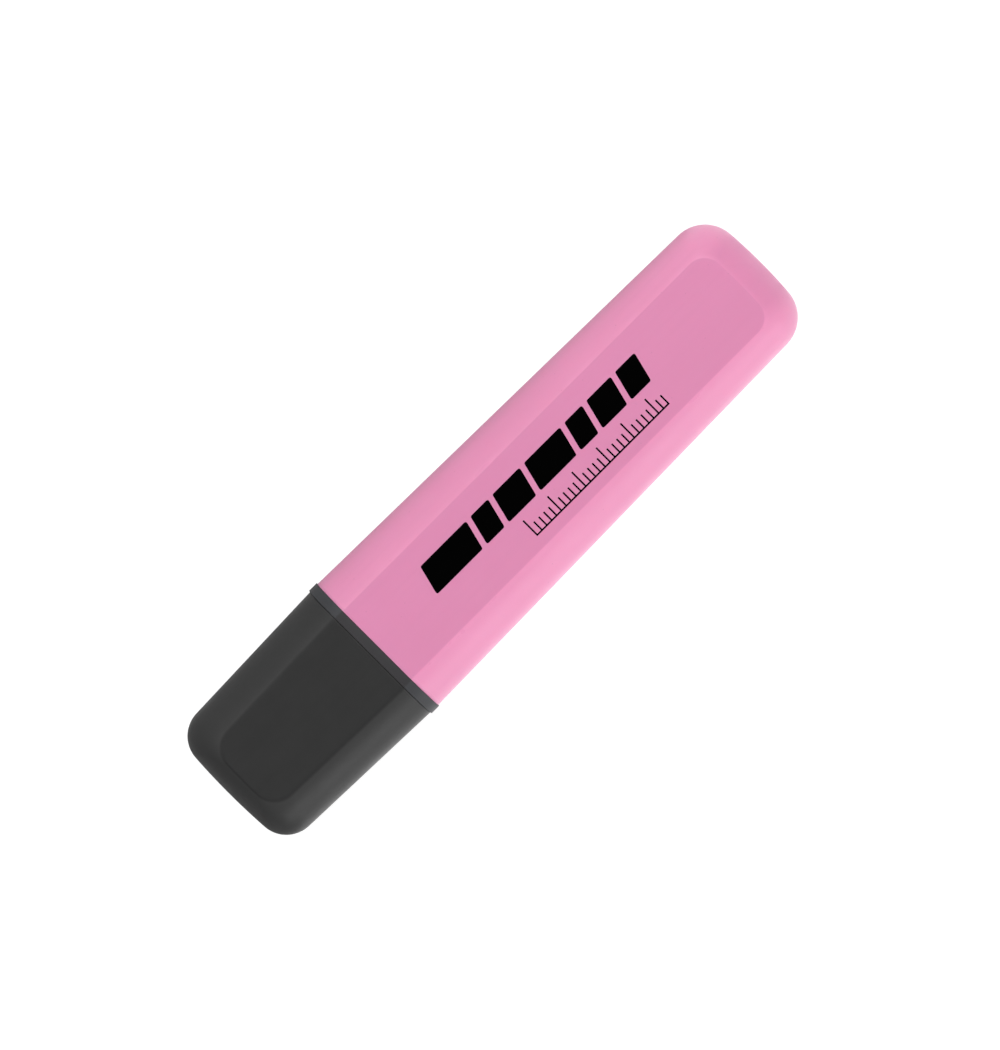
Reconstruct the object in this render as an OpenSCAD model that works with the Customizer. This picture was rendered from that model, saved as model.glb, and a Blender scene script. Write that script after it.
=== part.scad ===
// Flat desk highlighter: a hollow barrel, a nib holder with a collar, a chisel nib, a fibre ink
// reservoir in its film, and a push-fit cap with a sealing inner cap. All sizes are in millimetres.
// The pen lies along X with its writing tip towards +X and its broad faces up and down. The origin is
// on the surface that it lies on, under the middle of its length.

/* [Outer shape] */
// Length of the capped pen
total_l = 110; // [108:1:114]
// Thickness of barrel and cap across the broad faces
body_t = 15.6; // [15.4:0.1:16.4]
// Width of the flat panel on each broad face
panel_w = 14; // [12:0.5:15]
// Angle at which the rounded sides fall away from the flat panel
crease = 20; // [16:1:22]
// Wall thickness of barrel and cap
wall = 1.3; // [1.1:0.1:1.4]
// Thickness of the closed end walls
end_wall = 1.5; // [1.3:0.1:1.8]

/* [Barrel] */
// Width of the barrel at its mouth
barrel_mouth_w = 25; // [24.8:0.1:26]
// Width of the barrel where its rear corners begin
barrel_tail_w = 22.5; // [22.4:0.1:24]
// Radius of the barrel's rear corners, seen from above
barrel_corner_r = 5.6; // [5.2:0.2:6]
// Radius of the slight bow across the barrel's closed end
barrel_bow_r = 80; // [40:5:90]
// Radius of the corners of the barrel's flat panel
barrel_panel_r = 3; // [2.6:0.2:4]
// Length over which the panel falls away to the barrel's closed end
barrel_end_drop = 4.7; // [4:0.1:5.2]

/* [Cap] */
// Length of the cap
cap_l = 29.2; // [29:0.1:30]
// Width of the cap at its mouth
cap_mouth_w = 24.9; // [24.7:0.1:25.6]
// Width of the cap where its end corners begin
cap_end_w = 23.3; // [23:0.1:24.4]
// Radius of the cap's end corners, seen from above
cap_corner_r = 4.8; // [4.8:0.2:6]
// Radius of the slight bow across the cap's closed end
cap_bow_r = 110; // [60:10:200]
// Width of the cap's flat panel near its closed end
cap_end_panel_w = 12.8; // [11.8:0.2:13.4]
// Radius of the corners of the cap's flat panel
cap_panel_r = 3.6; // [3:0.2:4]
// Length over which the panel falls away to the cap's closed end
cap_end_drop = 3.2; // [3:0.1:4]

/* [Nib holder] */
// Length of the collar between barrel and cap
collar_l = 1.5; // [1.2:0.1:2]
// How far the collar stands proud of the barrel's sides
collar_proud = 0.2; // [0.1:0.05:0.4]
// Length of the plug pressed into the barrel
plug_l = 8.5; // [7:0.5:8.5]
// Length of the boss that the cap pushes onto
boss_l = 5; // [4.5:0.1:5]
// Gap between the boss and the cap on every side
cap_gap = 0.2; // [0.2:0.05:0.3]
// Radius of the round land that the inner cap seals on
land_r = 4.7; // [4.5:0.1:4.9]

/* [Nib and ink] */
// Width of the chisel nib
nib_w = 5.2; // [4:0.1:5.4]
// Thickness of the chisel nib
nib_t = 3.4; // [2.8:0.1:3.6]
// Length of nib in front of its holder
nib_out = 6; // [5:0.5:6.5]
// Length of the whole nib
nib_l = 36.5; // [34:0.5:40]
// Diameter of the fibre ink reservoir
reservoir_d = 11; // [10:0.2:11]
// Length of the fibre ink reservoir
reservoir_l = 70; // [60:1:70]

/* [Hidden] */
$fn = 96;

// Numbers of flat steps round a corner, half an end bow and a rounded side
corner_steps = 10;
bow_steps = 4;
side_steps = 9;
// Half height of the straight strip along each side
side_flat = 0.6;
// Overlap that makes a cut run clean through a face, and one that sinks a rib into its wall
cut = 0.5;
root = 0.3;
// Clearance of a sliding fit on its radius
slip = 0.05;

// Stations along X, from the barrel's mouth to the cap's closed end
cap_parting = 0.1;
cap_x = total_l / 2 - cap_l;
barrel_x = cap_x - cap_parting - collar_l;
barrel_l = barrel_x + total_l / 2;
axis_z = body_t / 2;

// Seats: the straight mouth of each shell, which the nib holder fits
seat_wall = 1.2;
seat_t = body_t - 2 * seat_wall;
seat_r = 5.4;
barrel_seat_w = barrel_mouth_w - 2 * seat_wall;
barrel_seat_l = 9;
cap_seat_w = cap_mouth_w - 2 * seat_wall;
cap_seat_l = 6;

// The collar's section: its curve starts flatter than the shells' sides, so it has no sharp crease
collar_crease = 10;

// Nib holder, in front of the collar
boss_x = barrel_x + collar_l;
taper_x = boss_x + boss_l;
taper_l = 5;
taper_step = 0.8;
taper_r = 5.2;
land_x = taper_x + taper_l;
land_l = 4;
snout_x = land_x + land_l;
snout_l = 2.5;
snout_r = 4.1;
snout_chamfer = 0.6;

// Hollows of the nib holder: the cone round the nib, two side pockets, and the air grooves
cone_r = 5.2;
cone_end_r = 3.6;
pocket_w = 2.9;
pocket_t = 7;
pocket_y = 8.35;
pocket_floor = 1;
air_groove = 1;

// Snap beads on the boss and the grooves for them in the cap
bead_r = 0.5;
bead_l = 8;
bead_x = boss_x + 2.4;
bead_rise = cap_gap - slip;
groove_r = bead_r + 0.2;
groove_l = bead_l + 1;

// Nib, reservoir and film
nib_r = 0.8;
nib_tip_x = snout_x + snout_l + nib_out;
nib_tail_x = nib_tip_x - nib_l;
nib_slant = 3.2;
nib_edge_t = 1.4;
nib_wedge_l = 3.4;
film_t = 0.2;
film_r = reservoir_d / 2 + film_t;
film_lip = 0.5;
reservoir_x = barrel_x - 2;
film_x = reservoir_x + film_lip;
film_tail_x = reservoir_x - reservoir_l - film_lip;

// Inner cap, and the ring in the cap that grips it
inner_cap_r = 5.8;
inner_cap_bore_r = land_r + slip;
inner_cap_x = land_x + 0.5;
inner_cap_end_x = total_l / 2 - 4;
inner_cap_floor = 1;
inner_cap_lead = 0.4;
ring_r = 6.9;
ring_x = inner_cap_end_x - 5;
ring_l = 4.5;

// Ribs inside the shells: their thickness, their places, and the crosses on the end walls
rib_t = 1;
side_rib_z = 2.2;
side_rib_y = 3;
face_rib_y = 2.5;
face_rib_h = 3;
rib_tail_gap = 13.5;
cross_w = 9;

function mix(a, b, f) = a + (b - a) * f;

// A rounded side leans from its first angle at the flat panel to upright at the outline. These give
// the share of the way in from the outline to the panel, and the height above the middle plane.
function inset(lean, first) = (1 - sin(lean)) / (1 - sin(first));
function height(lean, first, half_t) = side_flat + (half_t - side_flat) * cos(lean) / cos(first);
function leans(first) = [for (i = [0 : side_steps]) mix(first, 90, i / side_steps)];

// Centre of the corner arc that touches both the straight side and the bowed end
function corner_centre(l, half_w, taper, r, bow_r) =
    let (along = -r * sin(taper) - (l - bow_r))
    let (across = half_w - r * cos(taper))
    let (half_b = along * cos(taper) - across * sin(taper))
    let (c = along * along + across * across - pow(bow_r - r, 2))
    let (run = -half_b + sqrt(half_b * half_b - c))
    [run * cos(taper) - r * sin(taper), half_w - run * sin(taper) - r * cos(taper)];

// One side of a shell's outline seen from above: straight side, corner arc, then half of the bow
function half_outline(l, half_w, taper, r, bow_r) =
    let (centre = corner_centre(l, half_w, taper, r, bow_r))
    let (bow_angle = atan2(centre.y, centre.x - (l - bow_r)))
    let (corner = [for (i = [0 : corner_steps]) mix(90 - taper, bow_angle, i / corner_steps)])
    let (bow = [for (i = [1 : bow_steps]) bow_angle * (1 - i / bow_steps)])
    concat(
        [[0, half_w]],
        [for (a = corner) centre + r * [cos(a), sin(a)]],
        [for (a = bow) [l - bow_r + bow_r * cos(a), bow_r * sin(a)]]
    );

function outline(l, half_w, taper, r, bow_r) =
    let (half = half_outline(l, half_w, taper, r, bow_r))
    concat(half, [for (i = [len(half) - 2 : -1 : 0]) [half[i].x, -half[i].y]]);

// A list of [share of the way in, height], from the top panel's edge down to the bottom one's
function side_profile(half_t, first) =
    let (upper = [for (a = leans(first)) [inset(a, first), height(a, first, half_t)]])
    concat(upper, [for (i = [len(upper) - 1 : -1 : 0]) [upper[i].x, -upper[i].y]]);

// The whole outline across the pen, for the collar
function section(half_w, half_panel_w, half_t, first) =
    let (half = [for (p = side_profile(half_t, first)) [mix(half_w, half_panel_w, p.x), p.y]])
    concat(half, [for (i = [len(half) - 1 : -1 : 0]) [-half[i].x, half[i].y]]);

// A pillow-shaped solid: flat panels above and below, rounded sides, its cut mouth at x = 0 and its
// rounded end at x = l. Widths are [at the mouth, where the end corners begin].
module pillow(l, widths, panel_widths, t, r, panel_r, drop, bow_r) {
    rings = [for (layer = side_profile(t / 2, crease))
        let (f = layer.x)
        let (layer_l = l - drop * f)
        let (layer_r = mix(r, panel_r, f))
        let (mouth = mix(widths[0], panel_widths[0], f) / 2)
        let (end = mix(widths[1], panel_widths[1], f) / 2)
        let (taper = atan((mouth - end) / (layer_l - layer_r)))
        [for (p = outline(layer_l, mouth, taper, layer_r, bow_r)) [p.x, p.y, layer.y]]];
    n = len(rings[0]);
    last = len(rings) - 1;
    sides = [for (k = [0 : last - 1], i = [0 : n - 1])
        let (j = (i + 1) % n)
        each [[k * n + j, k * n + i, (k + 1) * n + i], [k * n + j, (k + 1) * n + i, (k + 1) * n + j]]];
    top = [for (i = [0 : n - 1]) i];
    bottom = [for (i = [n - 1 : -1 : 0]) last * n + i];
    polyhedron([for (ring = rings) each ring], concat([top, bottom], sides), convexity = 6);
}

// A pillow with a smaller one taken out of it, open at its mouth
module shell(l, widths, panel_widths, r, panel_r, drop, bow_r) {
    difference() {
        pillow(l, widths, panel_widths, body_t, r, panel_r, drop, bow_r);
        pillow(l - end_wall, widths - 2 * [wall, wall], panel_widths - 0.6 * [wall, wall],
            body_t - 2 * wall, r - wall, panel_r - wall / 2, drop - wall / 4, bow_r - wall);
    }
}

// A rectangle with true arcs at its corners
module rounded_rect(w, h, r) {
    square([w - 2 * r, h], center = true);
    square([w, h - 2 * r], center = true);
    for (x = [-1, 1], y = [-1, 1])
        translate([x * (w / 2 - r), y * (h / 2 - r)])
            circle(r);
}

// Places a shape drawn across Y and Z at a station on the pen's axis, extruded towards +X
module bar(x, l) {
    translate([x, 0, axis_z])
        rotate([90, 0, 90])
            linear_extrude(l)
                children();
}

// A round solid on the pen's axis, from radius r to radius r_end
module rod(x, l, r, r_end) {
    translate([x, 0, axis_z])
        rotate([0, 90, 0])
            cylinder(h = l, r1 = r, r2 = is_undef(r_end) ? r : r_end);
}

// Crossed ribs that stand on a closed end and stop the round piece inside
module stop_cross(x, l) {
    bar(x, l)
        union() {
            square([cross_w, rib_t], center = true);
            square([rib_t, cross_w], center = true);
        }
}

// Short round bars across the pen's broad faces, used as snap beads and as the grooves for them
module cross_bars(r, l) {
    for (side = [-1, 1])
        translate([bead_x, 0, axis_z + side * (seat_t / 2 - cap_gap + bead_rise - bead_r)])
            rotate([90, 0, 0])
                cylinder(h = l, r = r, center = true);
}

module nib_section() {
    rounded_rect(nib_w, nib_t, nib_r);
}

// Ribs along the inside of the barrel that centre the reservoir
module barrel_ribs() {
    rib_x = -total_l / 2 + rib_tail_gap;
    rib_l = barrel_x - barrel_seat_l - cut - rib_x;
    side_rib_h = (barrel_tail_w - wall) / 2 - side_rib_y;
    for (side = [-1, 1], face = [-1, 1]) {
        bar(rib_x, rib_l)
            translate([side * (side_rib_y + side_rib_h / 2), face * side_rib_z])
                square([side_rib_h, rib_t], center = true);
        bar(rib_x, rib_l)
            translate([side * face_rib_y, face * (body_t - wall - face_rib_h) / 2])
                square([rib_t, face_rib_h], center = true);
    }
}

module barrel() {
    end_x = -total_l / 2 + end_wall - root;
    color([0.93, 0.58, 0.74])
        difference() {
            union() {
                translate([barrel_x, 0, axis_z])
                    mirror([1, 0, 0])
                        shell(barrel_l, [barrel_mouth_w, barrel_tail_w], [panel_w, panel_w],
                            barrel_corner_r, barrel_panel_r, barrel_end_drop, barrel_bow_r);
                barrel_ribs();
                stop_cross(end_x, film_tail_x - end_x);
            }
            bar(barrel_x - barrel_seat_l, barrel_seat_l + cut)
                rounded_rect(barrel_seat_w, seat_t, seat_r);
            rod(film_tail_x, barrel_x - film_tail_x, film_r + slip);
        }
}

module collar() {
    half_w = barrel_mouth_w / 2 + collar_proud;
    bar(barrel_x, collar_l)
        polygon(section(half_w, panel_w / 2, body_t / 2, collar_crease));
}

// The part of the nib holder in front of the collar, without its hollows
module holder_nose() {
    boss_w = cap_seat_w - 2 * cap_gap;
    boss_t = seat_t - 2 * cap_gap;
    bar(boss_x, boss_l)
        rounded_rect(boss_w, boss_t, seat_r - cap_gap);
    cross_bars(bead_r, bead_l);
    hull() {
        bar(taper_x, slip)
            rounded_rect(boss_w - 2 * taper_step, boss_t - 2 * taper_step, seat_r - taper_step, $fn = 32);
        rod(land_x - slip, slip, taper_r, $fn = 32);
    }
    rod(land_x, land_l, land_r);
    rod(snout_x, snout_l - snout_chamfer, snout_r);
    rod(snout_x + snout_l - snout_chamfer, snout_chamfer, snout_r, snout_r - snout_chamfer);
}

// Socket for the reservoir, hollow cone round the nib, nib passage with air grooves, side pockets
module holder_hollows() {
    plug_x = barrel_x - plug_l;
    rod(plug_x - cut, film_x - plug_x + cut, film_r + slip);
    rod(film_x, land_x - film_x, cone_r, cone_end_r);
    bar(land_x - cut, land_l + snout_l + 2 * cut)
        union() {
            nib_section();
            square([air_groove, nib_t + air_groove], center = true);
        }
    for (side = [-1, 1])
        bar(plug_x - cut, taper_x - pocket_floor - plug_x + cut)
            translate([side * pocket_y, 0])
                rounded_rect(pocket_w, pocket_t, pocket_floor);
}

module nib_holder() {
    color([0.26, 0.26, 0.27])
        difference() {
            union() {
                bar(barrel_x - plug_l, plug_l)
                    rounded_rect(barrel_seat_w, seat_t, seat_r);
                collar();
                holder_nose();
            }
            holder_hollows();
        }
}

// The chisel edge slants across the nib's width, and both faces are ground down towards it
module nib() {
    slant_angle = atan(nib_slant / nib_w);
    color([0.95, 0.35, 0.62])
        intersection() {
            bar(nib_tail_x, nib_l)
                nib_section();
            translate([nib_tip_x - nib_slant / 2, 0, axis_z])
                rotate([90, 0, slant_angle])
                    linear_extrude(2 * nib_l, center = true)
                        polygon([
                            [-2 * nib_l, -nib_t / 2],
                            [-nib_wedge_l, -nib_t / 2],
                            [0, -nib_edge_t / 2],
                            [0, nib_edge_t / 2],
                            [-nib_wedge_l, nib_t / 2],
                            [-2 * nib_l, nib_t / 2]]);
        }
}

module ink_reservoir() {
    color([0.96, 0.55, 0.74])
        difference() {
            rod(reservoir_x - reservoir_l, reservoir_l, reservoir_d / 2);
            bar(nib_tail_x, reservoir_x - nib_tail_x + cut)
                nib_section();
        }
}

module reservoir_film() {
    film_l = film_x - film_tail_x;
    color([0.9, 0.9, 0.92])
        difference() {
            rod(film_tail_x, film_l, film_r);
            rod(film_tail_x - cut, film_l + 2 * cut, reservoir_d / 2);
        }
}

// Ring that grips the inner cap, and the webs that tie it to the cap's sides
module cap_ring() {
    difference() {
        union() {
            rod(ring_x, ring_l, ring_r);
            bar(ring_x, ring_l)
                square([cap_end_w - wall, rib_t], center = true);
        }
        rod(ring_x - cut, ring_l + 2 * cut, inner_cap_r);
    }
}

module cap() {
    color([0.22, 0.22, 0.22])
        union() {
            difference() {
                translate([cap_x, 0, axis_z])
                    shell(cap_l, [cap_mouth_w, cap_end_w], [panel_w, cap_end_panel_w],
                        cap_corner_r, cap_panel_r, cap_end_drop, cap_bow_r);
                bar(cap_x - cut, cap_seat_l + cut)
                    rounded_rect(cap_seat_w, seat_t, seat_r);
                cross_bars(groove_r, groove_l);
            }
            cap_ring();
            stop_cross(inner_cap_end_x, total_l / 2 - end_wall + root - inner_cap_end_x);
        }
}

module inner_cap() {
    bore_l = inner_cap_end_x - inner_cap_floor - inner_cap_x;
    color([0.16, 0.16, 0.17])
        difference() {
            rod(inner_cap_x, inner_cap_end_x - inner_cap_x, inner_cap_r);
            rod(inner_cap_x - cut, bore_l + cut, inner_cap_bore_r);
            rod(inner_cap_x, inner_cap_lead, inner_cap_bore_r + inner_cap_lead, inner_cap_bore_r);
        }
}

barrel();
nib_holder();
nib();
ink_reservoir();
reservoir_film();
cap();
inner_cap();
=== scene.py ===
import math
from collections import namedtuple

import bmesh
import bpy
from mathutils import Matrix, Vector


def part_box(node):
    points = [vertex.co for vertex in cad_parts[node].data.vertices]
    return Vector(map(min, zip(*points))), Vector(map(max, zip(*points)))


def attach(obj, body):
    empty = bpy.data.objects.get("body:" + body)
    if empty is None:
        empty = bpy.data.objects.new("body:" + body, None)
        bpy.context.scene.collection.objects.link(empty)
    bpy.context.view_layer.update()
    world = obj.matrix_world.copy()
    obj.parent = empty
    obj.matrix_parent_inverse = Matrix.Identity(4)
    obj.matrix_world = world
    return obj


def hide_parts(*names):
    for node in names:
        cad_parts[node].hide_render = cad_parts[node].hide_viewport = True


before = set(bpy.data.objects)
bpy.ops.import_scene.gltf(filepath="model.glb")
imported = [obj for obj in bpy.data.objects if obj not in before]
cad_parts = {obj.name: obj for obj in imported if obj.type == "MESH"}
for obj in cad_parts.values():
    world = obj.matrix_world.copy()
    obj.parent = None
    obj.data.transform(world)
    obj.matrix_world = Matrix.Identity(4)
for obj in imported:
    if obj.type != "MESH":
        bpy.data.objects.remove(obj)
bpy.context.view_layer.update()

MM = 0.001

# ---- places, from the frame
barrel_lo, barrel_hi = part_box("barrel")
cap_lo, cap_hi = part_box("cap")
holder_lo, holder_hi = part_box("nib_holder")
nib_lo, nib_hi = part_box("nib")
reservoir_lo, reservoir_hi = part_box("ink_reservoir")
film_lo, film_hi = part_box("reservoir_film")
liner_lo, liner_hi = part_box("inner_cap")

AXIS_Z = (barrel_lo.z + barrel_hi.z) / 2
BODY_T = barrel_hi.z - barrel_lo.z
BARREL_X = barrel_hi.x
CAP_X = cap_lo.x

# ---- sizes of the design
PANEL_W = 14 * MM
# Angles at which the shells' sides and the collar's sides leave the flat panel
CREASE = math.radians(20)
COLLAR_CREASE = math.radians(10)
WALL = 1.3 * MM
END_WALL = 1.5 * MM
# Half height of the straight strip along each side
SIDE_FLAT = 0.6 * MM
# The seat in each shell's mouth: the wall left round it, and its corners
SEAT_WALL = 1.2 * MM
SEAT_R = 5.4 * MM
# Length over which the hollow narrows or widens behind its seat
SEAT_STEP = 0.1 * MM
# Gap between the collar and the cap's rim
CAP_PARTING = 0.1 * MM
# Clearance of a sliding fit on its radius, and how far a rib sinks into its wall
SLIP = 0.05 * MM
ROOT = 0.3 * MM

# Shares of the wall by which a hollow's panel is narrower, its panel corners tighter and its
# panel less set back from the closed end
HOLLOW_PANEL_W = 0.6
HOLLOW_PANEL_R = 0.5
HOLLOW_DROP = 0.25

# Rounds that soften the moulded edges
MOUTH_R = 0.05 * MM
COLLAR_EDGE_R = 0.05 * MM
# How far the collar's front face closes in on the cap's rim
COLLAR_REACH = 0.06 * MM
# Share of the side's width over which the crease beside a panel is softened
CREASE_ROUND = 0.05
# How far the moulding seam stands out, and half its width
SEAM_H = 0.02 * MM
SEAM_W = 0.07 * MM

# Steps round a side, a corner, half an end bow, a rounded edge and a round section's quarter
SIDE_STEPS = 22
CORNER_STEPS = 18
BOW_STEPS = 8
EDGE_STEPS = 4
ARC_STEPS = 14
# Where a shell's straight side is divided, as shares of its length behind the seat
SIDE_SHARES = [0.01, 0.04, 0.1, 0.2, 0.3, 0.4, 0.5, 0.6, 0.7, 0.8, 0.9, 0.97]
# Vertices closer than this become one
MERGE = 1e-7
# Edges that turn by fewer degrees than this are shaded smooth: most pieces, crisp ones and the nib
SHARP = 35
CRISP = 30
NIB_SHARP = 50

Form = namedtuple("Form", "length mouth_w end_w panel_w end_panel_w half_t corner_r panel_r drop bow_r")

BARREL = Form(
    length=barrel_hi.x - barrel_lo.x,
    mouth_w=barrel_hi.y - barrel_lo.y,
    end_w=22.5 * MM,
    panel_w=PANEL_W,
    end_panel_w=PANEL_W,
    half_t=BODY_T / 2,
    corner_r=5.6 * MM,
    panel_r=3 * MM,
    drop=4.7 * MM,
    bow_r=80 * MM,
)
CAP = Form(
    length=cap_hi.x - cap_lo.x,
    mouth_w=cap_hi.y - cap_lo.y,
    end_w=23.3 * MM,
    panel_w=PANEL_W,
    end_panel_w=12.8 * MM,
    half_t=BODY_T / 2,
    corner_r=4.8 * MM,
    panel_r=3.6 * MM,
    drop=3.2 * MM,
    bow_r=110 * MM,
)


def inner_form(form):
    """The hollow inside a shell of that form."""
    return Form(
        length=form.length - END_WALL,
        mouth_w=form.mouth_w - 2 * WALL,
        end_w=form.end_w - 2 * WALL,
        panel_w=form.panel_w - HOLLOW_PANEL_W * WALL,
        end_panel_w=form.end_panel_w - HOLLOW_PANEL_W * WALL,
        half_t=form.half_t - WALL,
        corner_r=form.corner_r - WALL,
        panel_r=form.panel_r - HOLLOW_PANEL_R * WALL,
        drop=form.drop - HOLLOW_DROP * WALL,
        bow_r=form.bow_r - WALL,
    )


# ---- mesh helpers
def mix(a, b, f):
    return a + (b - a) * f


def spread(a, b, steps):
    """Evenly spaced values from a to b, both included."""
    return [mix(a, b, i / steps) for i in range(steps + 1)]


def make_piece(name, verts, faces, sharp=SHARP):
    """A piece from vertices and faces, with outward normals and soft shading below an angle."""
    mesh = bpy.data.meshes.new(name)
    mesh.from_pydata([tuple(v) for v in verts], [], faces)
    bm = bmesh.new()
    bm.from_mesh(mesh)
    bmesh.ops.remove_doubles(bm, verts=bm.verts, dist=MERGE)
    bmesh.ops.recalc_face_normals(bm, faces=bm.faces)
    if bm.calc_volume(signed=True) < 0:
        bmesh.ops.reverse_faces(bm, faces=bm.faces)
    bm.to_mesh(mesh)
    bm.free()
    mesh.shade_smooth()
    mesh.set_sharp_from_angle(angle=math.radians(sharp))
    piece = bpy.data.objects.new(name, mesh)
    bpy.context.scene.collection.objects.link(piece)
    return piece


class Build:
    """Vertices and faces of a piece that is made of several closed parts."""

    def __init__(self):
        self.verts = []
        self.faces = []

    def add(self, verts, faces):
        start = len(self.verts)
        self.verts += [tuple(v) for v in verts]
        self.faces += [[start + i for i in face] for face in faces]

    def rings(self, rings, loop=False):
        """A skin over rings of equal length. A loop joins the last ring to the first one; otherwise
        the first and last rings are closed by flat faces."""
        n = len(rings[0])
        verts = [v for ring in rings for v in ring]
        pairs = [(a, a + 1) for a in range(len(rings) - 1)]
        if loop:
            pairs.append((len(rings) - 1, 0))
        faces = [
            [a * n + i, a * n + (i + 1) % n, b * n + (i + 1) % n, b * n + i]
            for a, b in pairs
            for i in range(n)
        ]
        if not loop:
            faces.append(list(range(n)))
            faces.append([(len(rings) - 1) * n + i for i in range(n)])
        self.add(verts, faces)

    def piece(self, name, sharp=SHARP):
        return make_piece(name, self.verts, self.faces, sharp)


def quarter_ring(quarter):
    """A whole section from its +Y +Z quarter, which runs from the top round to the side."""
    down = [(y, -z) for y, z in reversed(quarter)]
    right = quarter + down
    return right + [(-y, z) for y, z in reversed(right)]


def rect_section(w, t, r):
    """A rectangle with round corners, as (y, z) points. A circle is one with no straight sides."""
    angles = spread(0, math.pi / 2, ARC_STEPS)
    quarter = [(w / 2 - r + r * math.sin(a), t / 2 - r + r * math.cos(a)) for a in angles]
    return quarter_ring(quarter)


def circle_section(r):
    return rect_section(2 * r, 2 * r, r)


def normals(section):
    """The outward direction at each point of a closed section that turns clockwise."""
    found = []
    for i in range(len(section)):
        (ya, za), (yb, zb) = section[i - 1], section[(i + 1) % len(section)]
        size = math.hypot(yb - ya, zb - za)
        found.append((-(zb - za) / size, (yb - ya) / size))
    return found


def shrink(section, d):
    """The section moved in by d all round."""
    return [(y - ny * d, z - nz * d) for (y, z), (ny, nz) in zip(section, normals(section))]


def ring_at(x, section):
    return [(x, y, AXIS_Z + z) for y, z in section]


def round_edge(x, section, r, way):
    """Rings that round the edge of a face at x. way is 1 for a face that looks along +X, -1 for -X."""
    steps = spread(0, math.pi / 2, EDGE_STEPS)
    if way < 0:
        steps.reverse()
    return [
        ring_at(x - way * r * (1 - math.sin(a)), shrink(section, r * (1 - math.cos(a))))
        for a in steps
    ]


# ---- the rounded side of a shell
def side_point(lean, first, half_t):
    """Share of the way in from outline to panel, and height, where the side leans by that angle."""
    share = (1 - math.sin(lean)) / (1 - math.sin(first))
    return share, SIDE_FLAT + (half_t - SIDE_FLAT) * math.cos(lean) / math.cos(first)


def upper_profile(half_t):
    """(share, height) from inside the flat panel, over its softened crease, to the upright side."""
    start_lean = math.asin(1 - (1 - CREASE_ROUND) * (1 - math.sin(CREASE)))
    share, height = side_point(start_lean, CREASE, half_t)
    bend = []
    for t in spread(0, 1, EDGE_STEPS):
        inward = mix(mix(1 + CREASE_ROUND, 1, t), mix(1, share, t), t)
        bend.append((inward, mix(half_t, height, t * t)))
    curve = [side_point(a, CREASE, half_t) for a in spread(start_lean, math.pi / 2, SIDE_STEPS)]
    return [(1 + 2 * CREASE_ROUND, half_t)] + bend + curve[1:]


def shell_profile(form, seam):
    """The whole side profile from the upper panel to the lower one, with the moulding seam between."""
    upper = upper_profile(form.half_t)
    proud = -2 * seam / (form.mouth_w - form.panel_w)
    middle = [(0, SEAM_W), (proud, 0), (0, -SEAM_W)]
    return upper + middle + [(f, -z) for f, z in reversed(upper)]


def corner_centre(length, half_w, taper, r, bow_r):
    """Centre of the corner arc that touches both the straight side and the bowed end."""
    along = -r * math.sin(taper) - (length - bow_r)
    across = half_w - r * math.cos(taper)
    half_b = along * math.cos(taper) - across * math.sin(taper)
    c = along * along + across * across - (bow_r - r) ** 2
    run = -half_b + math.sqrt(half_b * half_b - c)
    x = run * math.cos(taper) - r * math.sin(taper)
    return x, half_w - run * math.sin(taper) - r * math.cos(taper)


def half_outline(form, share, near, far):
    """One side of the layer at that share, seen from above: stations near the mouth at set
    distances, stations along the rest of the straight side, the corner arc and half the bow."""
    length = form.length - form.drop * share
    r = mix(form.corner_r, form.panel_r, share)
    half_w = mix(form.mouth_w, form.panel_w, share) / 2
    end_half_w = mix(form.end_w, form.end_panel_w, share) / 2
    taper = math.atan2(half_w - end_half_w, length - r)
    cx, cy = corner_centre(length, half_w, taper, r, form.bow_r)
    bow_x = length - form.bow_r
    bow_angle = math.atan2(cy, cx - bow_x)
    side_end = cx + r * math.sin(taper)
    xs = near + [mix(near[-1], side_end, f) for f in far]
    points = [(x, half_w - x * math.tan(taper)) for x in xs]
    for a in spread(math.pi / 2 - taper, bow_angle, CORNER_STEPS):
        points.append((cx + r * math.cos(a), cy + r * math.sin(a)))
    for a in spread(bow_angle, 0, BOW_STEPS)[1:]:
        points.append((bow_x + form.bow_r * math.cos(a), form.bow_r * math.sin(a)))
    return points


def half_rows(form, profile, near, far):
    return [[(x, y, z) for x, y in half_outline(form, f, near, far)] for f, z in profile]


def round_mouth(rows, r, way):
    """Rounds the rim at x = 0. way is 1 where the edge closes in towards the face, -1 where it opens."""
    first = [(row[0][1], row[0][2]) for row in rows]
    section = first + [(-y, z) for y, z in reversed(first)]
    out = normals(section)[: len(rows)]
    for row, (ny, nz) in zip(rows, out):
        for i, (x, y, z) in enumerate(row):
            if x < r:
                depth = way * (r - math.sqrt(x * (2 * r - x)))
                row[i] = (x, y - ny * depth, z - nz * depth)


def round_stations(r):
    return [r * (1 - math.cos(a)) for a in spread(0, math.pi / 2, EDGE_STEPS)]


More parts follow.
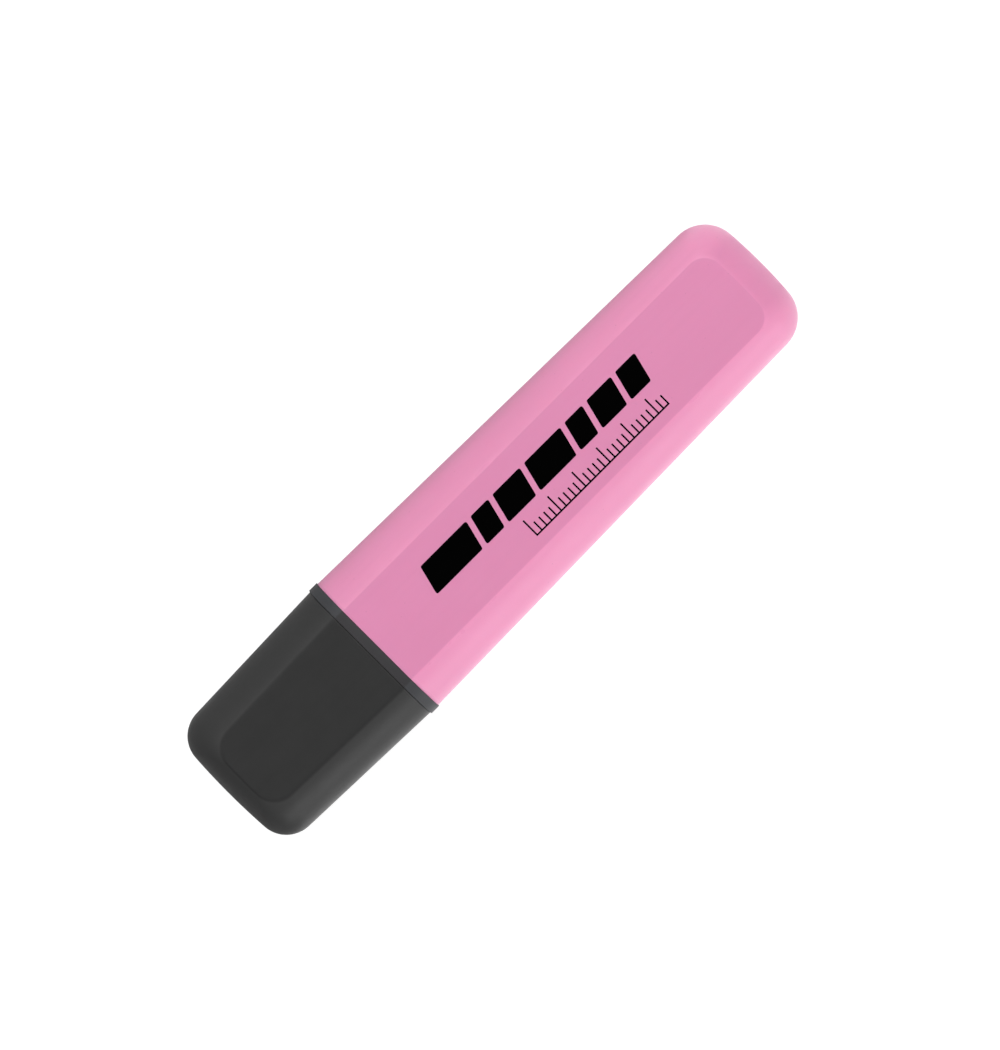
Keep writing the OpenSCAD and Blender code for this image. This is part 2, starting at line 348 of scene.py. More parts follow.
def shell_parts(rows_out, rows_in):
    """Vertices and faces of a hollow shell, closed at one end, from half rows of its two skins."""
    verts, faces, mouths = [], [], []
    for rows in (rows_out, rows_in):
        start = len(verts)
        full = [row + [(x, -y, z) for x, y, z in reversed(row[:-1])] for row in rows]
        n = len(full[0])
        last = len(full) - 1
        verts += [v for row in full for v in row]
        for k in range(last):
            for i in range(n - 1):
                a = start + k * n + i
                faces.append([a, a + 1, a + n + 1, a + n])
        # The flat panels are ladders of strips across the pen
        for k in (0, last):
            for i in range(n // 2):
                strip = [i, i + 1, n - 2 - i, n - 1 - i]
                if strip[1] == strip[2]:
                    strip.pop(2)
                faces.append([start + k * n + j for j in strip])
        left = [start + k * n for k in range(last + 1)]
        right = [start + k * n + n - 1 for k in range(last, -1, -1)]
        mouths.append(left + right)
    outer, inner = mouths
    for i in range(len(outer)):
        j = (i + 1) % len(outer)
        faces.append([outer[i], outer[j], inner[j], inner[i]])
    return verts, faces


def shell_rows(form, seat_w, seat_l):
    """Half rows of a shell's outer skin and of its hollow, whose mouth is the holder's seat."""
    profile = shell_profile(form, SEAM_H)
    outer = half_rows(form, profile, round_stations(MOUTH_R), SIDE_SHARES)
    round_mouth(outer, MOUTH_R, 1)

    hollow = inner_form(form)
    inner_profile = shell_profile(hollow, 0)
    # The seat's section has as many points as the side profile, with the seam's three in its middle
    middle = [(seat_w / 2, SEAM_W), (seat_w / 2, 0), (seat_w / 2, -SEAM_W)]
    upper_n = (len(profile) - len(middle)) // 2
    seat_half_t = BODY_T / 2 - SEAT_WALL
    seat = [
        (seat_w / 2 - SEAT_R * (1 - math.sin(a)), seat_half_t - SEAT_R * (1 - math.cos(a)))
        for a in spread(0, math.pi / 2, upper_n - 1)
    ]
    seat += middle + [(y, -z) for y, z in reversed(seat)]
    seat_xs = round_stations(MOUTH_R) + [seat_l / 2, seat_l]
    inner = half_rows(hollow, inner_profile, [seat_l + SEAT_STEP], SIDE_SHARES)
    inner = [[(x, y, z) for x in seat_xs] + row for (y, z), row in zip(seat, inner)]
    round_mouth(inner, MOUTH_R, -1)
    return outer, inner


def place(verts, x, way):
    """A shell's own coordinates turned into places: its mouth is at x and it runs along way."""
    return [(x + way * vx, vy, AXIS_Z + vz) for vx, vy, vz in verts]


def add_box(build, lo, hi):
    base = [(lo[0], lo[1], lo[2]), (hi[0], lo[1], lo[2]), (hi[0], hi[1], lo[2]), (lo[0], hi[1], lo[2])]
    build.rings([base, [(x, y, hi[2]) for x, y, z in base]])


def add_cross(build, x, x_end, w, t):
    """Crossed ribs on an end wall, as one plus-shaped bar."""
    a, b = w / 2, t / 2
    right = [(b, a), (b, b), (a, b), (a, -b), (b, -b), (b, -a)]
    plus = right + [(-y, -z) for y, z in right]
    build.rings([ring_at(x, plus), ring_at(x_end, plus)])


def cut_with(piece, cutters, operation="DIFFERENCE"):
    """Applies exact booleans to the piece and removes the cutters."""
    for cutter in cutters:
        modifier = piece.modifiers.new("cut", "BOOLEAN")
        modifier.operation = operation
        modifier.solver = "EXACT"
        modifier.object = cutter
    bpy.context.view_layer.update()
    mesh = bpy.data.meshes.new_from_object(piece.evaluated_get(bpy.context.evaluated_depsgraph_get()))
    mesh.name = piece.name
    piece.modifiers.clear()
    old = piece.data
    piece.data = mesh
    bpy.data.meshes.remove(old)
    for cutter in cutters:
        bpy.data.objects.remove(cutter)
    mesh.shade_smooth()
    mesh.set_sharp_from_angle(angle=math.radians(SHARP))


# ---- barrel
RIB_T = 1 * MM
CROSS_W = 9 * MM
BARREL_SEAT_L = 9 * MM
# Distances of the ribs' faces from the middle: sideways for those on the broad faces, up and down
# for those on the sides
FACE_RIB = (2 * MM, 3 * MM)
SIDE_RIB = (1.7 * MM, 2.7 * MM)
# How far the ribs stop short of the tail and of the seat
RIB_TAIL_GAP = 13.5 * MM
RIB_SEAT_GAP = 0.5 * MM
barrel_seat_w = BARREL.mouth_w - 2 * SEAT_WALL
film_r = (film_hi.z - film_lo.z) / 2


def make_barrel():
    build = Build()
    verts, faces = shell_parts(*shell_rows(BARREL, barrel_seat_w, BARREL_SEAT_L))
    build.add(place(verts, BARREL_X, -1), faces)
    # Ribs that centre the reservoir, two on each face and two on each side
    hollow = inner_form(BARREL)
    tail_x = barrel_lo.x + RIB_TAIL_GAP
    front_x = BARREL_X - BARREL_SEAT_L - RIB_SEAT_GAP
    bore = film_r + SLIP
    for side in (-1, 1):
        for face in (-1, 1):
            ys = sorted(side * y for y in FACE_RIB)
            zs = sorted([face * math.sqrt(bore ** 2 - FACE_RIB[0] ** 2), face * (hollow.half_t + ROOT)])
            add_box(build, (tail_x, ys[0], AXIS_Z + zs[0]), (front_x, ys[1], AXIS_Z + zs[1]))
            z_lo, z_hi = sorted(face * z for z in SIDE_RIB)
            y_in = side * math.sqrt(bore ** 2 - SIDE_RIB[0] ** 2)
            tail_y = side * (hollow.end_w / 2 + ROOT)
            front_w = mix(hollow.mouth_w, hollow.end_w, BARREL_SEAT_L / hollow.length)
            front_y = side * (front_w / 2 + ROOT)
            base = [(tail_x, y_in), (front_x, y_in), (front_x, front_y), (tail_x, tail_y)]
            build.rings([[(x, y, AXIS_Z + z) for x, y in base] for z in (z_lo, z_hi)])
    add_cross(build, barrel_lo.x + END_WALL - ROOT, film_lo.x, CROSS_W, RIB_T)
    return build.piece("barrel_shell")


barrel = make_barrel()

# ---- cap
CAP_SEAT_L = 6 * MM
cap_seat_w = CAP.mouth_w - 2 * SEAT_WALL
liner_r = (liner_hi.z - liner_lo.z) / 2
# The ring that grips the inner cap: its radius, its length, how far before the inner cap's end it
# starts, and the round on its front edge
RING_R = 6.9 * MM
RING_L = 4.5 * MM
RING_BACK = 5 * MM
RING_ROUND = 0.2 * MM


def make_cap():
    build = Build()
    verts, faces = shell_parts(*shell_rows(CAP, cap_seat_w, CAP_SEAT_L))
    build.add(place(verts, CAP_X, 1), faces)
    # The ring that grips the inner cap, its two webs, and the stop behind it
    ring_x = liner_hi.x - RING_BACK
    ring_end_x = ring_x + RING_L
    outer, bore = circle_section(RING_R), circle_section(liner_r)
    build.rings(
        round_edge(ring_x, outer, RING_ROUND, -1)
        + [ring_at(ring_end_x, outer), ring_at(ring_end_x, bore), ring_at(ring_x, bore)],
        loop=True,
    )
    hollow = inner_form(CAP)
    for side in (-1, 1):
        ys = sorted([side * (RING_R - ROOT), side * (hollow.end_w / 2 + ROOT)])
        add_box(build, (ring_x, ys[0], AXIS_Z - RIB_T / 2), (ring_end_x, ys[1], AXIS_Z + RIB_T / 2))
    add_cross(build, liner_hi.x, cap_hi.x - END_WALL + ROOT, CROSS_W, RIB_T)
    return build.piece("cap_shell")


cap = make_cap()

# ---- inner cap
LINER_FLOOR = 1 * MM
# Bevels at the bore's mouth and at its floor, and rounds outside at the mouth and at the end
LINER_LEAD = 0.4 * MM
LINER_BEVEL = 0.5 * MM
LINER_MOUTH_ROUND = 0.15 * MM
LINER_END_ROUND = 0.3 * MM
# Radius of the holder's land, which the inner cap seals on
LAND_R = 4.7 * MM


def make_liner():
    outer = circle_section(liner_r)
    bore = circle_section(LAND_R + SLIP)
    lead = circle_section(LAND_R + SLIP + LINER_LEAD)
    floor_x = liner_hi.x - LINER_FLOOR
    build = Build()
    build.rings(
        [ring_at(floor_x, shrink(bore, LINER_BEVEL)), ring_at(floor_x - LINER_BEVEL, bore)]
        + [ring_at(liner_lo.x + LINER_LEAD, bore), ring_at(liner_lo.x, lead)]
        + round_edge(liner_lo.x, outer, LINER_MOUTH_ROUND, -1)
        + round_edge(liner_hi.x, outer, LINER_END_ROUND, 1)
    )
    return build.piece("inner_cap_liner", sharp=CRISP)


liner = make_liner()

# ---- nib holder
BOSS_X = CAP_X - CAP_PARTING
BOSS_L = 5 * MM
TAPER_L = 5 * MM
LAND_L = 4 * MM
# Gap between the boss and the cap, and how much the plug is narrower than its seat
CAP_GAP = 0.2 * MM
PLUG_SLACK = 0.02 * MM
# Step from the boss down to the taper, the taper's last radius, and how its rounded end starts:
# how far back and how much wider
TAPER_STEP = 0.8 * MM
TAPER_R = 5.2 * MM
TAPER_EASE = (0.3 * MM, 0.06 * MM)
SNOUT_R = 4.1 * MM
NIB_R = 0.8 * MM
# Rounds on the plug, the boss, the taper and land, and the snout, and the bevel round the nib
PLUG_ROUND = 0.4 * MM
BOSS_ROUND = 0.25 * MM
NOSE_ROUND = 0.2 * MM
SNOUT_ROUND = 0.6 * MM
PASSAGE_LEAD = 0.15 * MM
# The hollow cone round the nib: its radius at the reservoir and behind the land
CONE_R = 5.2 * MM
CONE_END_R = 3.6 * MM
# Snap beads: radius, half length, distance in front of the collar, steps round one, and the radius
# at which a domed end is closed flat
BEAD_R = 0.5 * MM
BEAD_HALF_L = 4 * MM
BEAD_X = 2.4 * MM
BEAD_SIDES = 24
BEAD_TIP = 0.02 * MM
# Half width and depth of the air grooves, and how far a cutter runs through a face
AIR_GROOVE = 0.5 * MM
CUT = 0.5 * MM
# Side pockets: width, height, distance from the middle, corners, and the floor left in front
POCKET_W = 2.9 * MM
POCKET_T = 7 * MM
POCKET_Y = 8.35 * MM
POCKET_R = 1 * MM
POCKET_FLOOR = 1 * MM
nib_w = nib_hi.y - nib_lo.y
nib_t = nib_hi.z - nib_lo.z


def collar_section():
    half_w = (holder_hi.y - holder_lo.y) / 2
    quarter = []
    for lean in spread(COLLAR_CREASE, math.pi / 2, ARC_STEPS):
        share, height = side_point(lean, COLLAR_CREASE, BODY_T / 2)
        quarter.append((mix(half_w, PANEL_W / 2, share), height))
    return quarter_ring(quarter)


def bead_bar(x, z, r, half_l):
    """A round bar across the pen with domed ends."""
    rings = []
    for a in spread(-math.pi / 2, 0, EDGE_STEPS):
        rings.append((-half_l + r + r * math.sin(a), max(r * math.cos(a), BEAD_TIP)))
    rings += [(-y, ring_r) for y, ring_r in reversed(rings)]
    turns = [2 * math.pi * i / BEAD_SIDES for i in range(BEAD_SIDES)]
    build = Build()
    build.rings([
        [(x + ring_r * math.cos(t), y, z + ring_r * math.sin(t)) for t in turns]
        for y, ring_r in rings
    ])
    return build.piece("bead")


def make_holder():
    seat_t = BODY_T - 2 * SEAT_WALL
    plug = rect_section(barrel_seat_w - PLUG_SLACK, seat_t - PLUG_SLACK, SEAT_R)
    boss_w = cap_seat_w - 2 * CAP_GAP
    boss_t = seat_t - 2 * CAP_GAP
    boss = rect_section(boss_w, boss_t, SEAT_R - CAP_GAP)
    shoulder = rect_section(boss_w - 2 * TAPER_STEP, boss_t - 2 * TAPER_STEP, SEAT_R - TAPER_STEP)
    ease_back, ease_r = TAPER_EASE
    taper_x = BOSS_X + BOSS_L
    land_x = taper_x + TAPER_L
    snout_x = land_x + LAND_L
    collar_front_x = BOSS_X + COLLAR_REACH
    collar = collar_section()
    passage = rect_section(nib_w, nib_t, NIB_R)
    cone_x = film_hi.x
    outer = (
        round_edge(holder_lo.x, plug, PLUG_ROUND, -1)
        + [ring_at(BARREL_X, plug)]
        + round_edge(BARREL_X, collar, COLLAR_EDGE_R, -1)
        + round_edge(collar_front_x, collar, COLLAR_EDGE_R, 1)
        + [ring_at(collar_front_x, boss)]
        + round_edge(taper_x, boss, BOSS_ROUND, 1)
        + [ring_at(taper_x, shoulder)]
        + [ring_at(land_x - ease_back, circle_section(TAPER_R + ease_r))]
        + round_edge(land_x, circle_section(TAPER_R), NOSE_ROUND, 1)
        + [ring_at(land_x, circle_section(LAND_R))]
        + round_edge(snout_x, circle_section(LAND_R), NOSE_ROUND, 1)
        + [ring_at(snout_x, circle_section(SNOUT_R))]
        + round_edge(holder_hi.x, circle_section(SNOUT_R), SNOUT_ROUND, 1)
    )
    inner = [
        ring_at(holder_hi.x, shrink(passage, -PASSAGE_LEAD)),
        ring_at(holder_hi.x - PASSAGE_LEAD, passage),
        ring_at(land_x, passage),
        ring_at(land_x, circle_section(CONE_END_R)),
        ring_at(cone_x, circle_section(CONE_R)),
        ring_at(cone_x, circle_section(film_r + SLIP)),
        ring_at(holder_lo.x, circle_section(film_r + SLIP)),
    ]
    build = Build()
    build.rings(outer + inner, loop=True)
    holder = build.piece("nib_holder_front")

    bead_z = boss_t / 2 + CAP_GAP - SLIP - BEAD_R
    beads = [
        bead_bar(BOSS_X + BEAD_X, AXIS_Z + face * bead_z, BEAD_R, BEAD_HALF_L)
        for face in (-1, 1)
    ]
    cut_with(holder, beads, "UNION")

    cutters = []
    groove = Build()
    add_box(
        groove,
        (land_x - CUT, -AIR_GROOVE, AXIS_Z - nib_t / 2 - AIR_GROOVE),
        (holder_hi.x + CUT, AIR_GROOVE, AXIS_Z + nib_t / 2 + AIR_GROOVE),
    )
    cutters.append(groove.piece("groove"))
    for side in (-1, 1):
        pocket = Build()
        section = rect_section(POCKET_W, POCKET_T, POCKET_R)
        shape = [(y + side * POCKET_Y, z) for y, z in section]
        pocket.rings([ring_at(holder_lo.x - CUT, shape), ring_at(taper_x - POCKET_FLOOR, shape)])
        cutters.append(pocket.piece("pocket"))
    cut_with(holder, cutters)
    return holder


holder = make_holder()

# ---- nib
# How far the writing edge slants, its thickness, the length of the ground wedge, the round on the
# edge, the distance behind it over which the sections stay slanted, and the steps over each length
NIB_SLANT = 3.2 * MM
NIB_EDGE_T = 1.4 * MM
NIB_WEDGE_L = 3.4 * MM
NIB_EDGE_R = 0.32 * MM
NIB_SLANT_L = 12 * MM
NIB_STEPS = 8


def make_nib():
    slant = NIB_SLANT / nib_w
    lean = math.atan(slant)
    section = rect_section(nib_w, nib_t, NIB_R)

    def ring(back):
        """The nib's section at a distance behind its slanted edge."""
        ground = min(1, back / NIB_WEDGE_L)
        squeeze = mix(NIB_EDGE_T / nib_t, 1, ground)
        rounding = 0
        if back < NIB_EDGE_R:
            rounding = NIB_EDGE_R - math.sqrt(back * (2 * NIB_EDGE_R - back))
        points = []
        for y, z in section:
            y *= 1 - rounding / (nib_w / 2)
            z *= squeeze * (1 - rounding / (NIB_EDGE_T / 2))
            edge_x = nib_hi.x - (y + nib_w / 2) * slant
            points.append((edge_x - back / math.cos(lean), y, AXIS_Z + z))
        return points

    backs = (
        round_stations(NIB_EDGE_R)
        + spread(NIB_EDGE_R, NIB_WEDGE_L, NIB_STEPS)[1:]
        + spread(NIB_WEDGE_L, NIB_SLANT_L, NIB_STEPS)[1:]
    )
    build = Build()
    build.rings([ring(b) for b in backs] + [ring_at(nib_lo.x, section)])
    return build.piece("chisel_nib", sharp=NIB_SHARP)


nib = make_nib()

# ---- reservoir and film
FIBRE_ROUND = 0.3 * MM


def make_reservoir():
    outer = circle_section((reservoir_hi.z - reservoir_lo.z) / 2)
    pocket = rect_section(nib_w, nib_t, NIB_R)
    build = Build()
    build.rings(
        [ring_at(nib_lo.x, pocket), ring_at(reservoir_hi.x, pocket)]
        + list(reversed(round_edge(reservoir_hi.x, outer, FIBRE_ROUND, 1)))
        + list(reversed(round_edge(reservoir_lo.x, outer, FIBRE_ROUND, -1)))
    )
    return build.piece("fibre_reservoir")


def make_film():
    outer = circle_section(film_r)
    bore = circle_section((reservoir_hi.z - reservoir_lo.z) / 2)
    build = Build()
    places = ((film_lo.x, outer), (film_hi.x, outer), (film_hi.x, bore), (film_lo.x, bore))
    build.rings([ring_at(x, section) for x, section in places], loop=True)
    return build.piece("film_sleeve")


reservoir = make_reservoir()
film = make_film()


# ---- print on the upper panel
# Where the print's underside is, just below the panel, its thickness, and the steps round a corner
PRINT_Z = barrel_hi.z - 0.004 * MM
PRINT_T = 0.014 * MM
PRINT_STEPS = 5
# The bars: lengths and the gap between them in millimetres, then the distance behind the barrel's
# mouth, the place of the lower edge, the height, the lean and the corners
BAR_LENGTHS = (9.4, 3.6, 5.6, 7.4, 3.6, 5.0, 4.0)
BAR_GAP = 0.9
BARS_BACK = 11.4 * MM
BAR_Y = -3.65 * MM
BAR_H = 4.6 * MM
BAR_SLANT = math.radians(14)
BAR_R = 0.35 * MM
# The scale: the distance behind the barrel's mouth, the place of its outer edge, and its ticks
SCALE_BACK = 27.7 * MM
SCALE_EDGE = 5.1 * MM
TICKS = 28
TICK_PITCH = 1 * MM
TICK_W = 0.26 * MM
TICK_H = 1.7 * MM
LONG_TICK_H = 2.9 * MM
LONG_TICK_EVERY = 5
TICK_R = 0.06 * MM
# The line that joins the ticks: its corners, and how far it reaches past them and rises above them
LINE_R = 0.08 * MM
LINE_OVER = 0.16 * MM
LINE_RISE = 0.002 * MM


def plate(build, corners, r, z):
    """A thin flat plate of ink with round corners, whose underside is at z."""
    points = []
    n = len(corners)
    for i, corner in enumerate(corners):
        c = Vector(corner)
        to_last = (Vector(corners[i - 1]) - c).normalized()
        to_next = (Vector(corners[(i + 1) % n]) - c).normalized()
        half = to_last.angle(to_next) / 2
        reach = r / math.tan(half)
        start, end = c + to_last * reach, c + to_next * reach
        for s in spread(0, 1, PRINT_STEPS):
            points.append(start.lerp(c, s).lerp(c.lerp(end, s), s))
    build.rings([[(p.x, p.y, level) for p in points] for level in (z, z + PRINT_T)])


def slanted_bar(build, x, w, y, h, slant, r, z):
    """A bar w long that starts at x and runs towards -X, its ends slanted, h across."""
    shift = h * math.tan(slant)
    corners = [(x, y + h), (x - w, y + h), (x - w - shift, y), (x - shift, y)]
    plate(build, corners, r, z)


def make_print():
    build = Build()
    x = BARREL_X - BARS_BACK
    for w in BAR_LENGTHS:
        slanted_bar(build, x, w * MM, BAR_Y, BAR_H, BAR_SLANT, BAR_R, PRINT_Z)
        x -= (w + BAR_GAP) * MM
    return build.piece("printed_bars", sharp=CRISP)


def make_scale():
    build = Build()
    x = BARREL_X - SCALE_BACK
    for i in range(TICKS):
        h = LONG_TICK_H if i % LONG_TICK_EVERY == 0 else TICK_H
        slanted_bar(build, x - i * TICK_PITCH, TICK_W, SCALE_EDGE - h, h, 0, TICK_R, PRINT_Z)
    line_l = (TICKS - 1) * TICK_PITCH + TICK_W
    line_y = SCALE_EDGE + LINE_OVER - TICK_W
    slanted_bar(build, x, line_l, line_y, TICK_W, 0, LINE_R, PRINT_Z + LINE_RISE)
    return build.piece("printed_scale", sharp=CRISP)


bars = make_print()
scale = make_scale()


# ---- materials
# Bands of a noise's values: the middle that most patterns use, and what shows as a hairline, as
# worn patches, as scuffed areas, as streaks and as smudges
MIDDLE = (0.3, 0.7)
HAIRLINE = (0.70, 0.76)
WORN = (0.3, 0.8)
SCUFFED = (0.5, 0.66)
STREAKED = (0.45, 0.8)
SMUDGED = (0.25, 0.75)
# Scales along the pen of fine streaks, slow drift and worn patches
FINE_STRETCH = 0.06
DRIFT_STRETCH = 0.5
WEAR_STRETCH = 0.4


class Nodes:
    """Short calls for the nodes that these surfaces and the sky use."""

    def __init__(self, tree, coords):
        self.tree = tree
        self.coords = self.new("TexCoord").outputs[coords]

    def new(self, kind):
        return self.tree.nodes.new("ShaderNode" + kind)

    def link(self, source, target):
        self.tree.links.new(source, target)

    def stretched(self, share, vector=None):
        """Coordinates scaled on X by that share, so that patterns run long."""
        node = self.new("Mapping")
        node.inputs["Scale"].default_value = (share, 1, 1)
        self.link(vector or self.coords, node.inputs["Vector"])
        return node.outputs["Vector"]

    def hairlines(self, turn, width, length):
        """Long thin marks across the broad faces, turned by that angle from the pen's length, 0 to 1."""
        turned = self.new("Mapping")
        turned.inputs["Rotation"].default_value = (0, 0, turn)
        self.link(self.coords, turned.inputs["Vector"])
        drawn = self.stretched(width / length, turned.outputs["Vector"])
        return self.ramp(self.noise(width, 1, drawn), *HAIRLINE)

    def noise(self, size, detail, vector=None, rough=0.5):
        """Noise whose blotches are about that size in metres, from 0 to 1."""
        node = self.new("TexNoise")
        node.inputs["Scale"].default_value = 1 / size
        node.inputs["Detail"].default_value = detail
        node.inputs["Roughness"].default_value = rough
        self.link(vector or self.coords, node.inputs["Vector"])
        return node.outputs["Fac"]

    def grains(self, size, vector=None):
        """Distance to the nearest of scattered points that size apart."""
        node = self.new("TexVoronoi")
        node.inputs["Scale"].default_value = 1 / size
        self.link(vector or self.coords, node.inputs["Vector"])
        return node.outputs["Distance"]

    def math(self, operation, *values):
        node = self.new("Math")
        node.operation = operation
        for socket, value in zip(node.inputs, values):
            if isinstance(value, (int, float)):
                socket.default_value = value
            else:
                self.link(value, socket)
        return node.outputs["Value"]

    def ramp(self, value, low, high, to_low=0.0, to_high=1.0):
        """Smooth step of value between low and high."""
        node = self.new("MapRange")
        node.interpolation_type = "SMOOTHSTEP"
        limits = {"From Min": low, "From Max": high, "To Min": to_low, "To Max": to_high}
        for socket, number in limits.items():
            node.inputs[socket].default_value = number
        self.link(value, node.inputs["Value"])
        return node.outputs["Result"]

    def part(self, axis):
        """One of the coordinates."""
        node = self.new("SeparateXYZ")
        self.link(self.coords, node.inputs["Vector"])
        return node.outputs[axis]

    def away(self, axis, place):
        """Distance from that place, measured along one axis."""
        return self.math("ABSOLUTE", self.math("SUBTRACT", self.part(axis), place))

    def blend(self, factor, a, b):
        """Colour a where factor is 0 and colour b where it is 1."""
        node = self.new("Mix")
        node.data_type = "RGBA"
        sockets = [s for s in node.inputs if s.enabled]
        for socket, value in zip(sockets, (factor, a, b)):
            if isinstance(value, tuple):
                socket.default_value = (*value, 1)
            else:
                self.link(value, socket)
        return [s for s in node.outputs if s.enabled][0]


class Shader(Nodes):
    """A material and its surface shader."""

    def __init__(self, name, colour, roughness, **settings):
        self.material = bpy.data.materials.new(name)
        self.material.use_nodes = True
        self.material.node_tree.nodes.clear()
        super().__init__(self.material.node_tree, "Object")
        self.bsdf = self.new("BsdfPrincipled")
        self.link(self.bsdf.outputs["BSDF"], self.new("OutputMaterial").inputs["Surface"])
        self.bsdf.inputs["Base Color"].default_value = (*colour, 1)
        self.bsdf.inputs["Roughness"].default_value = roughness
        for socket, value in settings.items():
            self.bsdf.inputs[socket.replace("_", " ")].default_value = value

    def colour(self, source):
        self.link(source, self.bsdf.inputs["Base Color"])

    def roughness(self, source):
        self.link(source, self.bsdf.inputs["Roughness"])

    def bump(self, height, depth, strength):
        """Bumps up to that depth in metres. Later calls add to earlier ones."""
        node = self.new("Bump")
        node.inputs["Strength"].default_value = strength
        node.inputs["Distance"].default_value = depth
        self.link(height, node.inputs["Height"])
        before = self.bsdf.inputs["Normal"].links
        if before:
            self.link(before[0].from_socket, node.inputs["Normal"])
        self.link(node.outputs["Normal"], self.bsdf.inputs["Normal"])

    def use(self, piece, body, slot, *nodes):
        """Puts the material on the piece, which rides on a body and stands for those CAD nodes."""
        piece.data.materials.clear()
        piece.data.materials.append(self.material)
        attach(piece, body)
        if nodes:
            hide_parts(*nodes)


def srgb(r, g, b):
    """An 8-bit display colour as the linear values that shaders use."""
    return tuple(((c / 255 + 0.055) / 1.055) ** 2.4 if c > 10 else c / 3294.6 for c in (r, g, b))


# Depth below the flat panel at which its darker colour, which is painted shade, and its matt roughness
# start to give way to those of the sides
PANEL_FADE = 0.004 * MM
# Where an end bevel takes part of the panel's painted shade and matt roughness: half widths between which
# that ends, and distances from the closed end, in panel corner radii past the panel's edge, between which
# it ends
END_SPAN = (4.6 * MM, 7.8 * MM)
END_REACH = (0.5, 1.2)
# Depths below the flat panel between which handling polishes the crease, distances from a rim
# between which the polish there ends, and the patches that the polish comes in
CREASE_WEAR = (0.40 * MM, 0.06 * MM)
RIM_WEAR = (0.05 * MM, 0.45 * MM)
WEAR_PATCH = 2.4 * MM
# Sizes of the patterns: slow drift, flow marks, specks, scuffed areas, smudges and swells
DRIFT = 14 * MM
FLOW = 1.1 * MM
SPECK_GAP = 1.9 * MM
SPECK_R = (0.03, 0.06)
SCUFF_AREA = 9 * MM
SMUDGE = 5 * MM
SWELL = 2.2 * MM
# Turn, width and length of the two sets of hairline scuffs
SCUFFS = ((0.5, 0.07 * MM, 6 * MM), (-0.9, 0.06 * MM, 4 * MM))
# Tones against the plain colour: drift and streaks on the sides and on the panels, specks, and wear
DRIFT_TONE = (0.965, 0.975)
STREAK_TONE = (0.95, 0.96)
SPECK_TONE = 0.6
WEAR_TONE = 1.12
# How strongly streaks, specks and wear show in the colour
STREAK_SHARE = 0.5
SPECK_SHARE = 0.35
WEAR_SHARE = 0.3
# What smudges, flow marks, scuffs and wear do to the roughness
SMUDGE_ROUGH = 0.05
FLOW_ROUGH = 0.02
SCUFF_ROUGH = 0.14
WEAR_ROUGH = 0.07
# Depths and strengths of the swells, the grain and the scuffs
SWELL_BUMP = (0.02 * MM, 0.35)
GRAIN_BUMP = (0.012 * MM, 0.6)
SCUFF_BUMP = (0.004 * MM, 0.5)


def panel_mask(shader, fade, closed_x, form, end_shade_share):
    """1 on the flat panels and 0 on the rounded sides, by height above the middle plane; it gives the
    panels their painted shade and matt roughness. The bevel down to the closed end at closed_x takes that
    share of the panel's painted shade and matt roughness between the two sides."""
    mask = shader.ramp(shader.away("Z", AXIS_Z), BODY_T / 2 - fade, BODY_T / 2 - PANEL_FADE)
    if form is None:
        return mask
    near, far = (form.drop + radii * form.panel_r for radii in END_REACH)
    near_end = shader.ramp(shader.away("X", closed_x), near, far, end_shade_share, 0)
    between = shader.ramp(shader.math("ABSOLUTE", shader.part("Y")), *END_SPAN, 1, 0)
    return shader.math("MAXIMUM", mask, shader.math("MULTIPLY", near_end, between))


def edge_wear(shader, mask, rims):
    """Patchy polish along the creases beside the panels and along the rims at those places on X."""
    deep, shallow = CREASE_WEAR
    worn = shader.ramp(shader.away("Z", AXIS_Z), BODY_T / 2 - deep, BODY_T / 2 - shallow)
    worn = shader.math("MULTIPLY", worn, shader.math("SUBTRACT", 1, mask))
    for rim in rims:
        worn = shader.math("MAXIMUM", worn, shader.ramp(shader.away("X", rim), *RIM_WEAR, 1, 0))
    patches = shader.noise(WEAR_PATCH, 3, shader.stretched(WEAR_STRETCH))
    return shader.math("MULTIPLY", worn, shader.ramp(patches, *WORN))


def scaled(colour, factor):
    return tuple(min(1, c * factor) for c in colour)


